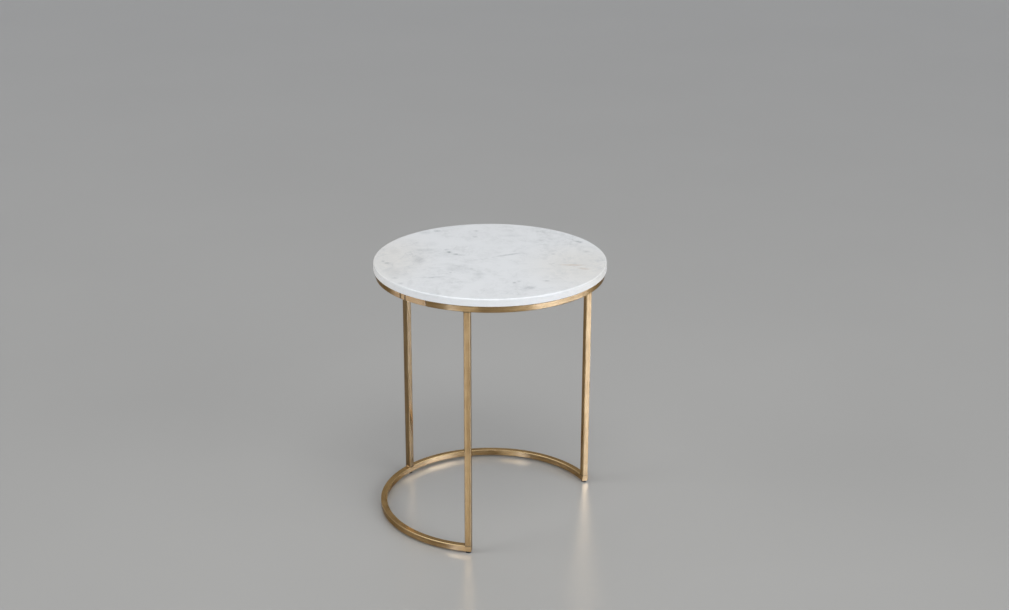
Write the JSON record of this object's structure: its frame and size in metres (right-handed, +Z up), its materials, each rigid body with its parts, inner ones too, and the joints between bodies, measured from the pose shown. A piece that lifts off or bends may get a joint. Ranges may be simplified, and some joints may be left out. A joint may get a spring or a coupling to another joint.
{
  "type": "round nesting side table",
  "caption": "Round marble-topped side table on a brass square-tube frame with an open C-shaped base that lets a smaller table slide in.",
  "frame": {"origin": "on the floor under the centre of the round top", "axes": "+Z up; -Y towards the open side of the base, where a smaller table slides in; +Y towards the back leg"},
  "size_m": [0.4599, 0.46, 0.533],
  "materials": {
    "marble": "polished white marble with soft grey clouding",
    "brass_tube": "satin brushed, aged tone",
    "glide_plastic": "moulded, matt black",
    "zinc_steel": "zinc plated",
    "insert_brass": "turned",
    "silicone": "clear, matt"
  },
  "bodies": {
    "frame": {"marble_top": "marble", "top_ring": "brass_tube", "leg_back": "brass_tube", "leg_left": "brass_tube", "leg_right": "brass_tube", "base_arc": "brass_tube", "end_cap_left": "brass_tube", "end_cap_right": "brass_tube", "ring_welds": "brass_tube", "base_welds": "brass_tube", "pad_1": "silicone", "pad_2": "silicone", "pad_3": "silicone", "pad_4": "silicone", "pad_5": "silicone", "pad_6": "silicone", "fixing_tab_1": "brass_tube", "fixing_tab_2": "brass_tube", "fixing_tab_3": "brass_tube", "fixing_washers": "zinc_steel", "fixing_screws": "zinc_steel", "marble_inserts": "insert_brass", "rivet_nuts": "zinc_steel"},
    "glide_back": {"glide_foot_back": "glide_plastic", "glide_stem_back": "zinc_steel"},
    "glide_left": {"glide_foot_left": "glide_plastic", "glide_stem_left": "zinc_steel"},
    "glide_right": {"glide_foot_right": "glide_plastic", "glide_stem_right": "zinc_steel"}
  },
  "joints": [
    {"name": "glide_back_height", "type": "slide", "parent": "frame", "child": "glide_back", "axis": [0, 0, -1], "range_m": [0, 0.005]},
    {"name": "glide_left_height", "type": "slide", "parent": "frame", "child": "glide_left", "axis": [0, 0, -1], "range_m": [0, 0.005]},
    {"name": "glide_right_height", "type": "slide", "parent": "frame", "child": "glide_right", "axis": [0, 0, -1], "range_m": [0, 0.005]}
  ]
}
